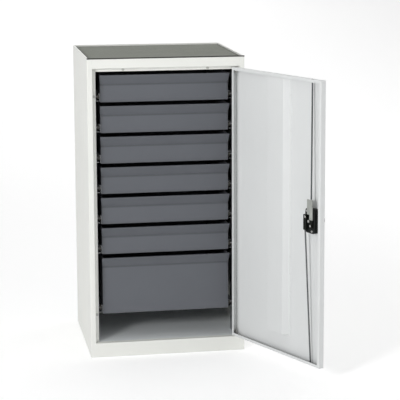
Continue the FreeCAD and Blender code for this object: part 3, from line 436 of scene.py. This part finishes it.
FINISHES = {
    "body_paint": powder_coat("powder_coat_white", BODY_WHITE, RUBBED_WHITE),
    # The door's coat gets strong painted shade in its folds, as in the channel behind its
    # hinge-side lip.
    "door_paint": powder_coat("powder_coat_door", SHADED_DOOR_WHITE, RUBBED_WHITE, fold_shade_strength=0.95),
    "floor_paint": powder_coat(
        "powder_coat_floor", FLOOR_GREY, RUBBED_WHITE, wear=0.5, shade=0.93),
    # The drawers' coat gets a painted shadow under each lip's bend.
    "drawer_paint": powder_coat(
        "powder_coat_grey", DRAWER_GREY, RUBBED_GREY, gloss=(0.4, 0.55), shade=0.94,
        bends=LIP_BENDS),
}
print("the drawers' lips bend at", [round(bend, 3) for bend in LIP_BENDS])

# %% [markdown]
# ## Plated steel
# The runners and uprights are zinc plated: a dull, slightly bluish metal with a faint cloudy
# crystal pattern. The pins and the brackets are brighter. The crystals could be a picture of
# real plating, but a Voronoi pattern gives each cell a tone of its own, and so looks alike.
# Rods are drawn, and drawing leaves fine lines along them, so the noise in their gloss is
# stretched along the rod. A rod may also have bands of another colour, told by their height.

# %% Plating with bands
JOINTS = {joint["name"]: joint for joint in frame["joints"]}
LOCK_LEVEL = JOINTS["handle_turn"]["pos_m"][2]
SMEAR = 0.8 * MM
CRYSTAL_SHADE = 0.84


def banded(tree, surface, place, bands):
    """The surface with its bands: each has a foot and a top over the lock, and a colour."""
    level = height_of(tree, place)
    for (foot, top), tone in bands:
        foot, top = LOCK_LEVEL + foot, LOCK_LEVEL + top
        above = ranged(tree, level, 0.0, 1.0, foot - SMEAR, foot + SMEAR)
        below = ranged(tree, level, 1.0, 0.0, top - SMEAR, top + SMEAR)
        surface = mixed(tree, multiplied(tree, above, below), surface, tone)
    return surface


def plated(name, colour, gloss, cells=90.0, stretch=(1.0, 1.0, 1.0), scratches=0.05, bands=()):
    """Plated or drawn steel: cloudy crystals in its colour, and fine lines in its gloss."""
    material, tree, shader = new_material(name)
    place = object_place(tree)
    crystals = add(tree, "TexVoronoi", {"Vector": place, "Scale": cells})
    tint = add(tree, "SeparateColor", {"Color": crystals.outputs["Color"]}).outputs[0]
    plain = mixed(tree, tint, colour, shaded(colour, CRYSTAL_SHADE))
    tree.links.new(banded(tree, plain, place, bands), shader.inputs["Base Color"])
    shader.inputs["Metallic"].default_value = 1.0
    drawn = add(tree, "Mapping", {"Vector": place, "Scale": stretch}).outputs["Vector"]
    lines = noise(tree, drawn, scale=420.0, detail=3.0, roughness=0.6)
    tree.links.new(ranged(tree, lines, *gloss), shader.inputs["Roughness"])
    bumped(tree, shader, lines, scratches)
    return material


print("the lock's axis is", round(LOCK_LEVEL, 3), "m over the floor")

# %% [markdown]
# ## The metals
# The cam is blackened, the slotted ends that work on its pins have the same dark tone, and
# only the upper rod's wide plate is bare zinc, so each rod's colour changes in bands over and
# under the lock. The upper rod's steel is a darker copy of the lower rod's: painted shade. The
# bands could be a second material on some faces, but the CAD nodes keep their meshes as they
# are, so each rod has a material of its own instead.

# %% Zinc, bright plating, rods and cam
# The dark tone of the cam and of the bands round the rods' slotted ends.
DARK_STEEL_TONE = paint_colour(38, 40, 37)
BARE_ZINC = paint_colour(184, 187, 182)
UPPER_SLOT, UPPER_PLATE = (-30 * MM, 6 * MM), (6 * MM, 71 * MM)
LOWER_SLOT = (-31 * MM, 31 * MM)


def drawn_rod(name, colour, bands):
    return plated(
        name, colour, gloss=(0.3, 0.46), stretch=(1.0, 1.0, 0.03), scratches=0.12, bands=bands)


FINISHES["runner_steel"] = plated(
    "zinc_plate", paint_colour(186, 189, 192), gloss=(0.32, 0.5))
FINISHES["plated_steel"] = plated(
    "bright_plate", paint_colour(205, 205, 202), gloss=(0.2, 0.34), cells=160.0)
# The upper rod's steel is a darker copy of the lower rod's: painted shade for where it lies.
FINISHES["rod_steel"] = drawn_rod(
    "drawn_upper_rod", paint_colour(92, 95, 97),
    bands=[(UPPER_SLOT, DARK_STEEL_TONE), (UPPER_PLATE, BARE_ZINC)])
LOWER_ROD_STEEL = drawn_rod(
    "drawn_lower_rod", paint_colour(112, 114, 116), bands=[(LOWER_SLOT, DARK_STEEL_TONE)])
BLACKENED_STEEL = plated("blackened_cam", DARK_STEEL_TONE, gloss=(0.3, 0.5), cells=200.0)
print("metals:", *[finish.name for finish in list(FINISHES.values())[-3:]],
      LOWER_ROD_STEEL.name, BLACKENED_STEEL.name)

# %% [markdown]
# ## Plastic and nylon
# The lock case, its handle and the rod guides are black moulded plastic with a fine spark
# texture, which the mould's eroded walls leave on it. The rollers are smoke-grey nylon, a
# little waxy, so some light goes under the surface. The grain is far too fine to model, and
# a bump is enough for it. Both plastics come from one recipe: a cloudy colour, paler where
# edges are rubbed, and a grain whose size and depth are given.

# %% Moulded plastic and nylon
RUB_REACH = 0.8 * MM
RUB_SHARE = 0.5
PALER, LIFTED = 1.18, 0.002
WAX_DEPTH = (2 * MM, 1.6 * MM, 1.2 * MM)


def moulded(name, colour, gloss, grain_scale, grain, waxy=0.0, shine=0.5):
    """Moulded plastic: waxy is the share of light that goes under its surface."""
    material, tree, shader = new_material(name)
    place = object_place(tree)
    cloudy = ranged(tree, noise(tree, place, scale=40.0, detail=3.0), 0.0, 1.0)
    paler = tuple(min(1.0, part * PALER + LIFTED) for part in colour[:3]) + (1.0,)
    rubbed = multiplied(tree, edge_share(tree, RUB_REACH), RUB_SHARE)
    body = mixed(tree, cloudy, colour, paler)
    tree.links.new(mixed(tree, rubbed, body, paler), shader.inputs["Base Color"])
    tree.links.new(ranged(tree, cloudy, *gloss, 0.0, 1.0), shader.inputs["Roughness"])
    bumped(tree, shader, noise(tree, place, grain_scale), grain)
    shader.inputs["Specular IOR Level"].default_value = shine
    if waxy:
        shader.inputs["Subsurface Weight"].default_value = waxy
        shader.inputs["Subsurface Radius"].default_value = WAX_DEPTH
    return material


FINISHES["lock_plastic"] = moulded(
    "moulded_black", paint_colour(11, 14, 12), gloss=(0.44, 0.56), grain_scale=1400.0,
    grain=0.25, shine=0.22)
FINISHES["nylon"] = moulded(
    "smoke_nylon", paint_colour(74, 72, 66), gloss=(0.34, 0.44), grain_scale=500.0,
    grain=0.05, waxy=0.1)
print("moulded finishes:", FINISHES["lock_plastic"].name, "and", FINISHES["nylon"].name)

# %% [markdown]
# ## Rubber
# The mat and its nosing are rubber: matt, dusty, and paler where the dust lies. The door
# buffers are a pale soft rubber that hardly shows on the white frame. A single grey would
# look like card. Two noises, one of soft patches and one of specks, are multiplied, so that
# the specks gather in the patches as dust does.

# %% Rubber
def rubber(name, colour, dusty, gloss=(0.68, 0.85)):
    """Rubber with a bloom of dust that gathers in soft patches."""
    material, tree, shader = new_material(name)
    place = object_place(tree)
    patches = noise(tree, place, scale=7.0, detail=5.0, roughness=0.6)
    specks = noise(tree, place, scale=260.0, detail=3.0, roughness=0.7)
    bloom = multiplied(tree, ranged(tree, patches, 0.15, 0.8), ranged(tree, specks, 0.4, 1.0))
    tree.links.new(mixed(tree, bloom, colour, dusty), shader.inputs["Base Color"])
    tree.links.new(ranged(tree, patches, *gloss), shader.inputs["Roughness"])
    bumped(tree, shader, specks, strength=0.12)
    return material


FINISHES["mat"] = rubber("grey_rubber", paint_colour(127, 130, 122), paint_colour(155, 157, 149))
FINISHES["black_rubber"] = rubber(
    "black_rubber", paint_colour(26, 26, 24), paint_colour(48, 48, 45))
PALE_RUBBER = rubber("pale_rubber", paint_colour(206, 208, 204), paint_colour(190, 191, 186))
print(len(FINISHES), "finishes for the slots of the record")

# %% [markdown]
# ## Dressing the frame
# Every CAD node names the slot that its finish comes from, so one loop dresses them all.
# Four nodes then get a finish of their own: the lower rod, whose flat end has other heights,
# the blackened cam, the pale buffers, and the mat's body, which shows as a dark border that is
# painted shade for the gap between the mat and the rim.

# %% Give every node its finish
def dress(piece, finish):
    piece.data.materials.clear()
    piece.data.materials.append(finish)


for subpart in frame["record"]["subparts"]:
    dress(NODES[subpart["node"]], FINISHES[subpart["material_slot"]])
dress(NODES["lower_rod"], LOWER_ROD_STEEL)
dress(NODES["cam_plate"], BLACKENED_STEEL)
dress(NODES["door_buffers"], PALE_RUBBER)
# The mat's body is dark rubber: its border is painted shade for the gap along the rim.
dress(NODES["top_mat"], FINISHES["black_rubber"])
print("dressed", len(NODES), "nodes")

# %% [markdown]
# ## How the small pieces are placed
# Each small piece is a bmesh: an operator gives the first shape, and extrude, inset, bevel
# and solidify turn it into the real one. A fastening that is repeated could be many objects,
# but one object is easier to keep on its body. It is shaped once around the origin, with Z
# pointing out of the sheet, and then copied to each of its places. Pieces on the door are
# drawn for the closed door, as the CAD frame does, and swung open with it.

# %% Helpers for placing
HINGE_PLACE = Vector(JOINTS["door_hinge"]["pos_m"])
DOOR_OPENING = math.radians(-JOINTS["door_hinge"]["range_deg"][0])
DOOR_SWING = (
    Matrix.Translation(HINGE_PLACE)
    @ Matrix.Rotation(DOOR_OPENING, 4, "Z")
    @ Matrix.Translation(-HINGE_PLACE)
)
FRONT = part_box("header")[0].y
PIECE_MERGE = 0.001 * MM


def facing(point, outwards):
    """The place of a fastening at a point, with its Z pointing outwards."""
    turned = Vector(outwards).to_track_quat("Z", "Y").to_matrix().to_4x4()
    return Matrix.Translation(point) @ turned


def on_door(across, depth, level, outwards=(0.0, 1.0, 0.0)):
    """A place on the closed door, swung open: depth is counted from the front plane."""
    return DOOR_SWING @ facing(Vector((across, FRONT + depth, level)), outwards)


def finished(name, shape, slot, body):
    """Turns a bmesh into a dressed piece that rides on a body."""
    bmesh.ops.remove_doubles(shape, verts=shape.verts, dist=PIECE_MERGE)
    bmesh.ops.recalc_face_normals(shape, faces=shape.faces)
    for face in shape.faces:
        face.smooth = False
    mesh = bpy.data.meshes.new(name)
    shape.to_mesh(mesh)
    shape.free()
    piece = link_object(name, mesh)
    dress(piece, FINISHES[slot])
    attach(piece, body)
    print(name, len(mesh.polygons), "faces")


def repeated(name, make, places, slot, body, **sizes):
    """One piece with a copy of a small shape at each of its places."""
    first = bmesh.new()
    make(first, **sizes)
    pattern = bpy.data.meshes.new(name + "_pattern")
    first.to_mesh(pattern)
    first.free()
    shape = bmesh.new()
    for place in places:
        known = len(shape.verts)
        shape.from_mesh(pattern)
        shape.verts.ensure_lookup_table()
        bmesh.ops.transform(shape, matrix=place, verts=shape.verts[known:])
    bpy.data.meshes.remove(pattern)
    finished(name, shape, slot, body)


print("the door stands open by", round(math.degrees(DOOR_OPENING)), "degrees")

# %% [markdown]
# ## How a fastening is shaped
# Screws, rivets and weld marks all start from a disc: a filled circle, drawn up to its
# height. An inset then makes a ring in its top, and the middle goes up for a rivet's dome or
# down for a weld's dish. A pan-head screw has its upper edge bevelled and a recess drawn down
# in the middle. Alternate corners of the recess are pulled inwards, which makes a star of it
# with few faces. A profile spun round the axis would give the same rings, but insets need no
# profile, and they serve for the star as well.

# %% Helpers for fastenings
def disc(shape, radius, height, segments):
    """A short round block on Z = 0. Returns its top face."""
    made = bmesh.ops.create_circle(shape, cap_ends=True, segments=segments, radius=radius)
    base = made["verts"][0].link_faces[0]
    raised = bmesh.ops.extrude_face_region(shape, geom=[base])
    bmesh.ops.translate(shape, verts=verts_of(raised), vec=(0.0, 0.0, height))
    return next(item for item in raised["geom"] if isinstance(item, bmesh.types.BMFace))


def sunk(shape, face, margin, depth):
    """Insets a face by a margin and pushes the middle down, or up for a negative depth."""
    bmesh.ops.inset_region(shape, faces=[face], thickness=margin, use_even_offset=True)
    bmesh.ops.translate(shape, verts=face.verts[:], vec=(0.0, 0.0, -depth))


def screw(shape, radius, height, segments=24, rounding=0.45, margin=0.34, recess=0.6, star=0.78):
    """A pan-head screw with a star recess, in shares of its radius and height."""
    top = disc(shape, radius, height, segments)
    bmesh.ops.bevel(
        shape, geom=top.edges[:], offset=height * rounding, segments=2, profile=0.5,
        affect="EDGES", material=-1)
    top = max(
        shape.faces, key=lambda face: (round(face.calc_center_median().z, 7), face.calc_area()))
    bmesh.ops.inset_region(shape, faces=[top], thickness=radius * margin, use_even_offset=True)
    for number, vert in enumerate(top.verts):
        if number % 4 < 2:
            vert.co.x *= star
            vert.co.y *= star
    pit = bmesh.ops.extrude_face_region(shape, geom=[top])
    bmesh.ops.translate(shape, verts=verts_of(pit), vec=(0.0, 0.0, -height * recess))
    bmesh.ops.delete(shape, geom=[top], context="FACES_ONLY")


def rivet(shape, radius, height, segments=16, rim=0.3, steps=((0.22, 0.42), (0.4, 0.28))):
    """A low domed rivet head: over its rim it narrows and rises in steps."""
    top = disc(shape, radius, height * rim, segments)
    for narrowing, rise in steps:
        sunk(shape, top, radius * narrowing, -height * rise)


def weld_mark(shape, radius, height, segments=16, ring=0.3, dish=0.7):
    """The print of a spot welder's tip: a faint ring with a dished middle."""
    top = disc(shape, radius, height, segments)
    sunk(shape, top, radius * ring, height * dish)


print("three fastenings: screw, rivet, weld mark")

# %% [markdown]
# ## The ribbed mat
# A ribbed rubber mat lies in the top, inside the rim. The ribs could be a bump in the
# material, but their edges show against the light, so they are geometry: a grid with four
# strips to a rib, of which two lines are lifted, and a skirt down into the CAD frame's mat.
# That mat shows around it as a plain dark border, wider at the back: painted shade for the
# gap between the mat and the rim.

# %% Ribbed field
STRIPS_PER_RIB = 4
LIFTED_STRIPS = (2, 3)


def ribbed_field(pitch=4.8 * MM, rise=0.7 * MM, base=0.4 * MM, root=0.1 * MM,
                 side_border=5.0 * MM, front_border=3.0 * MM, rear_border=15.0 * MM):
    # The border left round the ribs, widest at the back, is the painted shade along the rim.
    low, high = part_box("top_mat")
    left, right = low.x + side_border, high.x - side_border
    front, back = low.y + front_border, high.y - rear_border
    strips = STRIPS_PER_RIB * int((back - front) / pitch)
    shape = bmesh.new()
    bmesh.ops.create_grid(shape, x_segments=1, y_segments=strips, size=1.0)
    for vert in shape.verts:
        across, along = (vert.co.x + 1) / 2, (vert.co.y + 1) / 2
        line = round(along * strips)
        on_rib = line % STRIPS_PER_RIB in LIFTED_STRIPS and 0 < line < strips
        level = high.z + base + (rise if on_rib else 0.0)
        vert.co = (left + across * (right - left), front + along * (back - front), level)
    skirt = bmesh.ops.extrude_edge_only(
        shape, edges=[edge for edge in shape.edges if edge.is_boundary])
    for vert in verts_of(skirt):
        vert.co.z = high.z - root
    bmesh.ops.holes_fill(
        shape, edges=[edge for edge in shape.edges if edge.is_boundary], sides=0)
    finished("mat_ribs", shape, "mat", "cabinet")


ribbed_field()

# %% [markdown]
# ## The nosing
# Over the front rim of the top lies a soft dark rubber nosing, which draws a dark line along
# the front edge of the mat. A block over the rim would cut into the sheet that it sits on. So
# it is a bent strip: three points give its section, extrude draws it from side to side,
# solidify gives it its thickness outwards, and only its outer bend is bevelled.

# %% Nosing
def front_nosing(thickness=0.8 * MM, drop=2.6 * MM, reach=5.5 * MM, rounding=0.9,
                 long_edge=100 * MM):
    low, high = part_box("top_tray")
    shape = bmesh.new()
    section = [(low.y, high.z - drop), (low.y, high.z), (low.y + reach, high.z)]
    verts = [shape.verts.new((low.x, along, level)) for along, level in section]
    edges = [shape.edges.new(pair) for pair in zip(verts, verts[1:])]
    swept = bmesh.ops.extrude_edge_only(shape, edges=edges)
    bmesh.ops.translate(shape, verts=verts_of(swept), vec=(high.x - low.x, 0.0, 0.0))
    bmesh.ops.recalc_face_normals(shape, faces=shape.faces)
    if shape.faces[:][0].normal.y > 0:
        bmesh.ops.reverse_faces(shape, faces=shape.faces)
    whole = shape.faces[:] + shape.edges[:] + shape.verts[:]
    bmesh.ops.solidify(shape, geom=whole, thickness=-thickness)
    outer_bend = [
        edge for edge in shape.edges
        if abs(edge.verts[0].co.x - edge.verts[1].co.x) > long_edge and not edge.is_boundary
        and max(vert.co.z for vert in edge.verts) > high.z + 0.5 * thickness
        and max(vert.co.y for vert in edge.verts) < low.y
    ]
    bmesh.ops.bevel(
        shape, geom=outer_bend, offset=thickness * rounding, segments=3, profile=0.5,
        affect="EDGES", material=-1)
    finished("mat_nosing", shape, "black_rubber", "cabinet")


front_nosing()

# %% [markdown]
# ## Welds of the door
# The stiffener is spot welded to the skin along both its feet, and each weld leaves a small
# dished print under the paint. A bump could fake it, but the prints are few and cost little
# as geometry. They stand at an even pitch, up both feet.

# %% Stiffener welds
SHEET = 1.2 * MM
FOOT_MIDDLE = 62.5 * MM
WELD_PITCH = 58.0 * MM
TOP_MARGIN = 10 * MM

stiffener_low, stiffener_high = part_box("door_stiffener")
first_weld = stiffener_low.z + WELD_PITCH / 2
weld_count = math.ceil((stiffener_high.z - TOP_MARGIN - first_weld) / WELD_PITCH)
weld_places = [
    on_door(side * FOOT_MIDDLE, 2 * SHEET, first_weld + number * WELD_PITCH)
    for number in range(weld_count) for side in (-1, 1)
]
repeated(
    "stiffener_welds", weld_mark, weld_places, "door_paint", "door",
    radius=3.2 * MM, height=0.35 * MM)

# %% [markdown]
# ## Fastenings of the lock
# The lock case is held by two pan-head screws, a third holds the cam on the end of its
# spindle, and a bright rivet closes each of the cam's two pins. Outside, two screws hold the
# rose. They could be solids of the CAD frame, but they neither carry nor move anything in
# it, so they are only dressing. The screw and the caps of the cam turn with the handle, so
# they ride on its body. A face is given by its depth behind the cabinet's front plane, with
# the door shut, and the two pins stand on a circle round the spindle.

# %% Lock fastenings
LOCK_AXIS = DOOR_SWING.inverted() @ Vector(JOINTS["handle_turn"]["pos_m"])
CASE_FACE, CAM_FACE, PIN_FACE, ROSE_FACE = 20.2 * MM, 23.0 * MM, 28.0 * MM, -4.0 * MM
CASE_SCREWS = ((-13 * MM, -31 * MM), (14.5 * MM, 31 * MM))
ROSE_SCREW_RISE = 20.6 * MM
PIN_CIRCLE = 18 * MM
PIN_OFFSET = PIN_CIRCLE * math.sqrt(0.5)


def at_lock(across, depth, up, outwards=(0.0, 1.0, 0.0)):
    """A place on the closed door, counted from the lock's axis."""
    return on_door(LOCK_AXIS.x + across, depth, LOCK_LEVEL + up, outwards)


repeated(
    "lock_case_screws", screw, [at_lock(across, CASE_FACE, up) for across, up in CASE_SCREWS],
    "plated_steel", "door", radius=3.4 * MM, height=1.7 * MM)
repeated(
    "cam_screw", screw, [at_lock(0.0, CAM_FACE, 0.0)],
    "plated_steel", "handle", radius=4.6 * MM, height=2.6 * MM)
repeated(
    "drive_pin_caps", rivet,
    [at_lock(sign * PIN_OFFSET, PIN_FACE, sign * PIN_OFFSET) for sign in (-1, 1)],
    "plated_steel", "handle", radius=3.7 * MM, height=0.9 * MM)
repeated(
    "rose_screws", screw,
    [at_lock(0.0, ROSE_FACE, sign * ROSE_SCREW_RISE, (0.0, -1.0, 0.0)) for sign in (-1, 1)],
    "plated_steel", "door", radius=2.6 * MM, height=0.9 * MM)

# %% [markdown]
# ## Rivets of the back
# Low rivets hold the rear flanges on the back panel, eight up each side. They are hidden
# while the cabinet stands against a wall, but the part is looked at from every side. Their
# places could be written out one by one. Two sides and an even spread give them all.

# %% Back rivets
RIVET_INSET = 9 * MM
RIVETS_PER_SIDE = 8


def spread(low, high, count):
    """Evenly spaced values, half a step in from each end."""
    return [low + (number + 0.5) * (high - low) / count for number in range(count)]


panel_low, panel_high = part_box("back_panel")
rear_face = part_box("left_side_panel")[1].y
rivet_places = [
    facing((side * (panel_high.x - RIVET_INSET), rear_face, level), (0.0, 1.0, 0.0))
    for side in (-1, 1) for level in spread(panel_low.z, panel_high.z, RIVETS_PER_SIDE)
]
repeated(
    "back_rivets", rivet, rivet_places, "plated_steel", "cabinet",
    radius=3.6 * MM, height=0.9 * MM)

# %% [markdown]
# ## Screws of the runners
# Screws hold each fixed rail on its two uprights. The drawer's roller runs inside the rail's
# channel, so their heads are low enough for it to pass. They show whenever a drawer is out.
# The levels could be listed, but they are read from the drawers' own rails, so that the
# screws follow if the drawers are built at another pitch.

# %% Rail screws
UPRIGHT_HALF = 20.0 * MM
RAIL_SCREW_RISE = 12.6 * MM

rail_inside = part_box("fixed_rails")[1].x - SHEET
uprights_low, uprights_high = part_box("uprights")
screw_depths = (uprights_low.y + UPRIGHT_HALF, uprights_high.y - UPRIGHT_HALF)
screw_levels = [
    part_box(body + "_glide_rails")[0].z + RAIL_SCREW_RISE
    for body in frame["bodies"] if body + "_glide_rails" in NODES
]
screw_places = [
    facing((side * rail_inside, along, level), (-side, 0.0, 0.0))
    for level in screw_levels for along in screw_depths for side in (-1, 1)
]
repeated(
    "rail_screws", screw, screw_places, "runner_steel", "cabinet",
    radius=3.4 * MM, height=0.6 * MM, segments=16)
